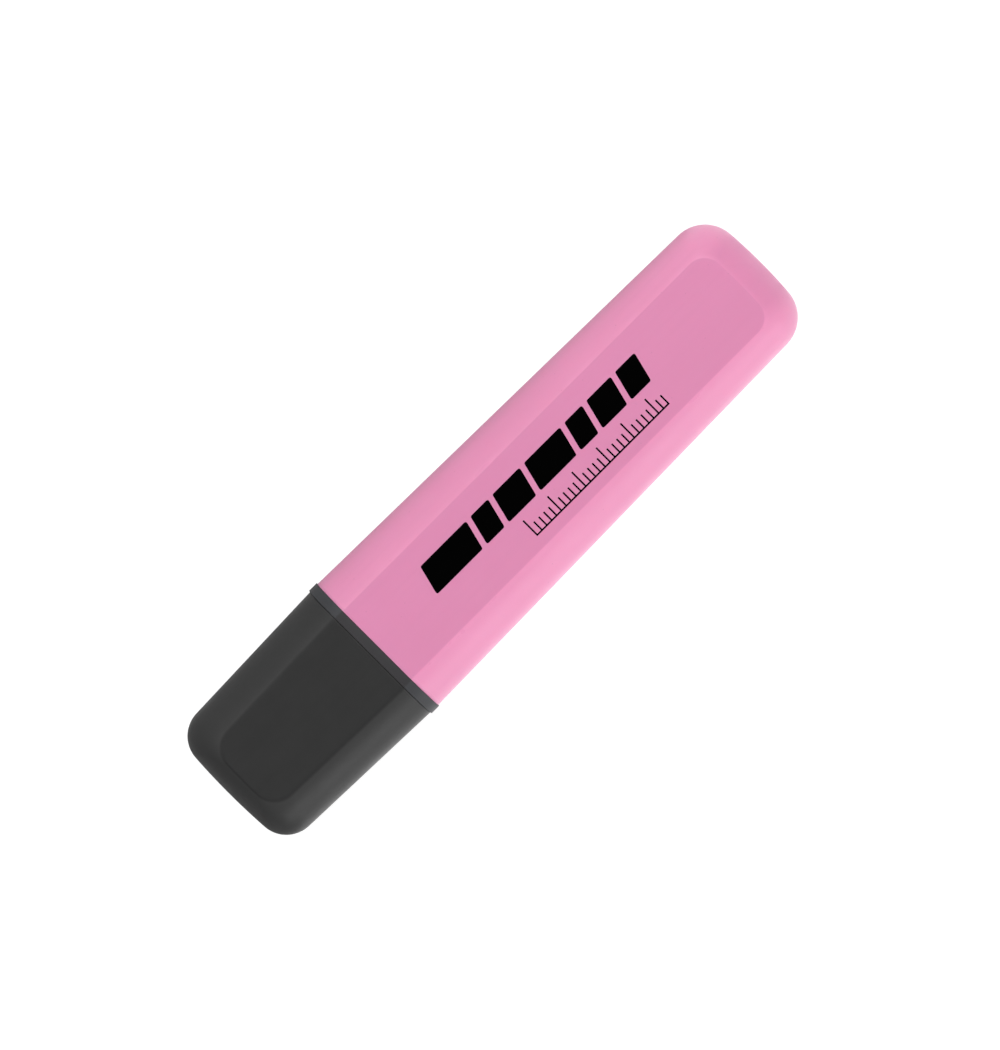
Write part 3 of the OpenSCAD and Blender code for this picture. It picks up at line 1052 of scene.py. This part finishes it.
def moulded_plastic(
    name, side, panel, side_rough, panel_rough, grain, rims=(), fade=0.06 * MM,
    closed_x=0, form=None, end_shade_share=0, **settings
):
    """Moulded plastic: smooth rounded sides, panels that are more matt and painted darker as shade, faint
    flow marks along the pen, stray specks, hairline scuffs, and polished creases and rims."""
    shader = Shader(name, side, side_rough, **settings)
    mask = panel_mask(shader, fade, closed_x, form, end_shade_share)
    drift = shader.ramp(shader.noise(DRIFT, 4, shader.stretched(DRIFT_STRETCH)), *MIDDLE)
    flow = shader.noise(FLOW, 3, shader.stretched(FINE_STRETCH), rough=0.6)
    wear = edge_wear(shader, mask, rims)
    speck = shader.ramp(shader.grains(SPECK_GAP), *SPECK_R, 1, 0)
    patches = shader.ramp(shader.noise(SCUFF_AREA, 2), *SCUFFED)
    lines = shader.math("MAXIMUM", *(shader.hairlines(*scuffs) for scuffs in SCUFFS))
    scuff = shader.math("MULTIPLY", lines, patches)

    # The panel colour is darker than the side colour: painted shade on the broad faces
    tone = shader.blend(mask, side, panel)
    darker = shader.blend(mask, scaled(side, DRIFT_TONE[0]), scaled(panel, DRIFT_TONE[1]))
    tone = shader.blend(drift, darker, tone)
    streaked = shader.blend(mask, scaled(side, STREAK_TONE[0]), scaled(panel, STREAK_TONE[1]))
    tone = shader.blend(shader.ramp(flow, *STREAKED, 0, STREAK_SHARE), tone, streaked)
    tone = shader.blend(shader.math("MULTIPLY", speck, SPECK_SHARE), tone, scaled(side, SPECK_TONE))
    tone = shader.blend(shader.math("MULTIPLY", wear, WEAR_SHARE), tone, scaled(side, WEAR_TONE))
    shader.colour(tone)

    base = shader.ramp(mask, 0, 1, side_rough, panel_rough)
    smudge = shader.noise(SMUDGE, 5, rough=0.6)
    rough = shader.math("ADD", base, shader.ramp(smudge, *SMUDGED, -SMUDGE_ROUGH, SMUDGE_ROUGH))
    rough = shader.math("ADD", rough, shader.ramp(flow, *MIDDLE, -FLOW_ROUGH, FLOW_ROUGH))
    rough = shader.math("ADD", rough, shader.math("MULTIPLY", scuff, SCUFF_ROUGH))
    shader.roughness(shader.math("SUBTRACT", rough, shader.math("MULTIPLY", wear, WEAR_ROUGH)))

    shader.bump(shader.noise(SWELL, 2), *SWELL_BUMP)
    shader.bump(shader.noise(grain, 3, rough=0.7), *GRAIN_BUMP)
    shader.bump(shader.math("MULTIPLY", scuff, -1), *SCUFF_BUMP)
    return shader


# The panel colour, darker than the side colour, is painted shade; the end bevel takes 0.6 of it
barrel_plastic = moulded_plastic(
    "pink_plastic", side=srgb(247, 159, 199), panel=srgb(232, 145, 187), side_rough=0.34,
    panel_rough=0.5, grain=0.16 * MM, rims=(BARREL_X,), closed_x=barrel_lo.x, form=BARREL, end_shade_share=0.6,
    Subsurface_Weight=0.15, Subsurface_Scale=1.2 * MM, IOR=1.49, Specular_IOR_Level=0.3,
)
barrel_plastic.bsdf.inputs["Subsurface Radius"].default_value = (1.0, 0.35, 0.55)
# The panel colour, darker than the side colour, is painted shade, fading out over 0.22 mm below the panel
cap_plastic = moulded_plastic(
    "charcoal_plastic", side=srgb(62, 62, 62), panel=srgb(43, 43, 43), side_rough=0.38,
    panel_rough=0.5, grain=0.16 * MM, rims=(CAP_X,), fade=0.22 * MM, IOR=1.49, Specular_IOR_Level=0.2,
)
# The panel colour, darker than the side colour, is painted shade on the collar's broad faces
holder_plastic = moulded_plastic(
    "grey_plastic", side=srgb(71, 72, 75), panel=srgb(61, 60, 62), side_rough=0.4,
    panel_rough=0.48, grain=0.2 * MM, IOR=1.49, Specular_IOR_Level=0.15,
)
liner_plastic = moulded_plastic(
    "liner_plastic", side=srgb(44, 44, 46), panel=srgb(44, 44, 46), side_rough=0.5,
    panel_rough=0.5, grain=0.3 * MM, IOR=1.5,
)


# Soaked areas in felt: size, band of the noise, tone against the wet colour, and how strongly they show
SOAK = 3 * MM
SOAKED = (0.35, 0.75)
SOAK_TONE = 0.72
SOAK_SHARE = 0.5
# Felt that has been written with: its tone, how strongly it shows, and what it takes off the roughness
USED_TONE = 0.6
USED_SHARE = 0.55
USED_ROUGH = 0.15
# The strands' band of the noise and their roughness, and the specks' scale along the pen and distance
# apart in strand widths
STRAND_BAND = (0.2, 0.8)
FIBRE_ROUGH = (0.5, 0.8)
FIBRE_STRETCH = 0.25
SPECK_SPREAD = 1.5
# Depths and strengths of the strands and of the specks between them
STRAND_BUMP = (0.05 * MM, 0.7)
SPECK_BUMP = (0.03 * MM, 0.4)


def fibre(name, wet, dry, streak, used_from=None, used_to=None):
    """Bundled fibre: fine streaks along the pen, specks where its ends are cut, and a darker, smoother
    stretch between two places on X where it has been written with."""
    shader = Shader(name, wet, roughness=0.62, Sheen_Weight=0.25, Sheen_Roughness=0.4)
    strands = shader.noise(streak, 4, shader.stretched(FINE_STRETCH), rough=0.65)
    specks = shader.grains(streak * SPECK_SPREAD, shader.stretched(FIBRE_STRETCH))
    soak = shader.noise(SOAK, 3)
    tone = shader.blend(shader.ramp(strands, *MIDDLE), wet, dry)
    tone = shader.blend(shader.ramp(soak, *SOAKED, 0, SOAK_SHARE), tone, scaled(wet, SOAK_TONE))
    rough = shader.ramp(strands, *STRAND_BAND, *FIBRE_ROUGH)
    if used_from is not None:
        used = shader.ramp(shader.part("X"), used_from, used_to)
        tone = shader.blend(shader.math("MULTIPLY", used, USED_SHARE), tone, scaled(wet, USED_TONE))
        rough = shader.math("SUBTRACT", rough, shader.math("MULTIPLY", used, USED_ROUGH))
    shader.colour(tone)
    shader.roughness(rough)
    shader.bump(strands, *STRAND_BUMP)
    shader.bump(specks, *SPECK_BUMP)
    return shader


nib_fibre = fibre(
    "nib_felt", srgb(238, 70, 150), srgb(250, 120, 180), 0.12 * MM, nib_hi.x - NIB_WEDGE_L, nib_hi.x,
)
reservoir_fibre = fibre("reservoir_felt", srgb(240, 120, 178), srgb(250, 175, 208), 0.3 * MM)


# The film's creases: their size and scale along the pen, their depth and strength, and its roughness
FILM_CREASE = 2 * MM
FILM_STRETCH = 0.3
FILM_BUMP = (0.04 * MM, 0.5)
FILM_ROUGH = (0.08, 0.22)
# The ink: its colour and that of its pinholes, the pinholes' size and band of the noise, the size over
# which the film of ink varies and its roughness, and the size, depth and strength of its grain
INK = (0.001, 0.001, 0.001)
PINHOLE = (0.006, 0.003, 0.004)
PINHOLE_SIZE = 0.12 * MM
PINHOLE_BAND = (0.7, 0.8)
INK_PATCH = 1.5 * MM
INK_ROUGH = (0.45, 0.6)
INK_GRAIN = 0.2 * MM
INK_BUMP = (0.006 * MM, 0.5)


def film_material():
    """Clear film, lightly creased along the pen."""
    shader = Shader("clear_film", (0.9, 0.9, 0.92), roughness=0.12, Alpha=0.35, IOR=1.5)
    creases = shader.noise(FILM_CREASE, 4, shader.stretched(FILM_STRETCH))
    shader.bump(creases, *FILM_BUMP)
    shader.roughness(shader.ramp(creases, *MIDDLE, *FILM_ROUGH))
    return shader


def ink_material():
    """Pad-printed ink: near black, with pinholes of a lighter tone and a slightly uneven film."""
    shader = Shader("print_ink", INK, roughness=0.5, IOR=1.5, Specular_IOR_Level=0.0)
    pinholes = shader.noise(PINHOLE_SIZE, 2)
    shader.colour(shader.blend(shader.ramp(pinholes, *PINHOLE_BAND), INK, PINHOLE))
    shader.roughness(shader.ramp(shader.noise(INK_PATCH, 3), *MIDDLE, *INK_ROUGH))
    shader.bump(shader.noise(INK_GRAIN, 3), *INK_BUMP)
    return shader


film_plastic = film_material()
ink = ink_material()

barrel_plastic.use(barrel, "pen", "barrel_plastic", "barrel")
holder_plastic.use(holder, "pen", "holder_plastic", "nib_holder")
nib_fibre.use(nib, "pen", "nib_fibre", "nib")
reservoir_fibre.use(reservoir, "pen", "reservoir_fibre", "ink_reservoir")
film_plastic.use(film, "pen", "clear_film", "reservoir_film")
cap_plastic.use(cap, "cap", "cap_plastic", "cap")
liner_plastic.use(liner, "cap", "liner_plastic", "inner_cap")
ink.use(bars, "pen", "print_ink")
ink.use(scale, "pen", "print_ink")


# ---- floor, light and camera
FLOOR_HALF = 1.5
FLOOR_TONE = (0.3, 0.3, 0.3)
# The floor's glow as the camera sees it
WHITE_GLOW = 0.88
# The glow that lights the pen on its key side and on its other side, and the distance from the
# middle within which one turns into the other
KEY_GLOW = 0.95
FILL_GLOW = 0.15
GLOW_BLEND = 20 * MM
# The same beyond the cap and beyond the barrel's closed end, and the distances from the pen's
# middle over which it changes to that
CAP_END_GLOW = 0.06
REAR_END_GLOW = 0.88
END_FADE = (51 * MM, 59 * MM)
# The sky's brightness, and the share that it loses straight beyond the pen's ends
SKY = 0.40
END_DIM = 0.8
# Distance of the soft lights in metres, then name, azimuth, elevation, length, width and power of each
LAMP_REACH = 0.6
STRIPS = (
    ("key", 90, 12, 0.9, 0.3, 1.88),
    ("fill", 270, 60, 0.9, 0.3, 1.12),
    ("overhead", 270, 88, 0.9, 0.3, 0.94),
    ("corner_fill", 225, 55, 0.35, 0.3, 0.6),
)
# The camera: its lens and sensor in millimetres, the width that it sees, the point that it looks at,
# as a distance to the right of the pen's middle and one up, and how far it sees in metres
LENS = 240
SENSOR = 36
SEEN = 153.8 * MM
AIM = (0.77 * MM, 0.385 * MM)
FARTHEST = 20


def make_floor():
    """A light table. It glows at the pen from below, more on the key side, with a level of its own
    beyond each of the pen's ends, and the camera sees it evenly white."""
    corners = [(-1, -1), (1, -1), (1, 1), (-1, 1)]
    verts = [(x * FLOOR_HALF, y * FLOOR_HALF, 0) for x, y in corners]
    floor = make_piece("floor", verts, [[0, 1, 2, 3]])
    shader = Shader("pale_floor", FLOOR_TONE, roughness=0.9)
    shader.bsdf.inputs["Emission Color"].default_value = (1, 1, 1, 1)
    glow = shader.ramp(shader.part("Y"), -GLOW_BLEND, GLOW_BLEND, FILL_GLOW, KEY_GLOW)
    for way, end_glow in ((1, CAP_END_GLOW), (-1, REAR_END_GLOW)):
        beyond = shader.ramp(shader.math("MULTIPLY", shader.part("X"), way), *END_FADE)
        change = shader.math("MULTIPLY", beyond, shader.math("SUBTRACT", end_glow, glow))
        glow = shader.math("ADD", glow, change)
    seen = shader.new("LightPath").outputs["Is Camera Ray"]
    evened = shader.math("MULTIPLY", seen, shader.math("SUBTRACT", WHITE_GLOW, glow))
    shader.link(shader.math("ADD", glow, evened), shader.bsdf.inputs["Emission Strength"])
    floor.data.materials.append(shader.material)


def make_world():
    """A pale sky, dimmer low down beyond the two ends of the pen."""
    world = bpy.data.worlds.new("studio")
    bpy.context.scene.world = world
    world.use_nodes = True
    nodes = Nodes(world.node_tree, "Generated")
    along = nodes.part("X")
    level = nodes.math("MULTIPLY_ADD", nodes.math("MULTIPLY", along, along), -END_DIM * SKY, SKY)
    background = world.node_tree.nodes["Background"].inputs
    background["Color"].default_value = (1, 1, 1, 1)
    nodes.link(level, background["Strength"])


def strip_light(name, azimuth, elevation, length, width, power):
    """A soft strip that faces the pen from that direction, in degrees. Azimuth 90 is +Y, the key side."""
    turn, rise = math.radians(azimuth), math.radians(elevation)
    data = bpy.data.lights.new(name, "AREA")
    data.shape = "RECTANGLE"
    data.size = length
    data.size_y = width
    data.energy = power
    lamp = bpy.data.objects.new(name, data)
    lamp.visible_camera = False
    bpy.context.scene.collection.objects.link(lamp)
    back = Vector((math.cos(rise) * math.cos(turn), math.cos(rise) * math.sin(turn), math.sin(rise)))
    side = Vector((-math.sin(turn), math.cos(turn), 0))
    axes = Matrix((side, back.cross(side), back)).transposed().to_4x4()
    lamp.matrix_world = Matrix.Translation(back * LAMP_REACH) @ axes


def make_camera():
    """Straight above the upper broad face, turned so that the pen lies on a diagonal."""
    diagonal = math.sqrt(0.5)
    right = Vector((-diagonal, diagonal, 0))
    up = Vector((-diagonal, -diagonal, 0))
    data = bpy.data.cameras.new("camera")
    data.lens = LENS
    data.sensor_width = SENSOR
    data.clip_end = FARTHEST
    camera = bpy.data.objects.new("camera", data)
    bpy.context.scene.collection.objects.link(camera)
    at = right * AIM[0] + up * AIM[1]
    at.z = AXIS_Z + SEEN * LENS / SENSOR
    axes = Matrix((right, up, Vector((0, 0, 1)))).transposed().to_4x4()
    camera.matrix_world = Matrix.Translation(at) @ axes
    bpy.context.scene.camera = camera


make_floor()
make_world()
for strip in STRIPS:
    strip_light(*strip)
make_camera()
bpy.context.scene.view_settings.view_transform = "Standard"
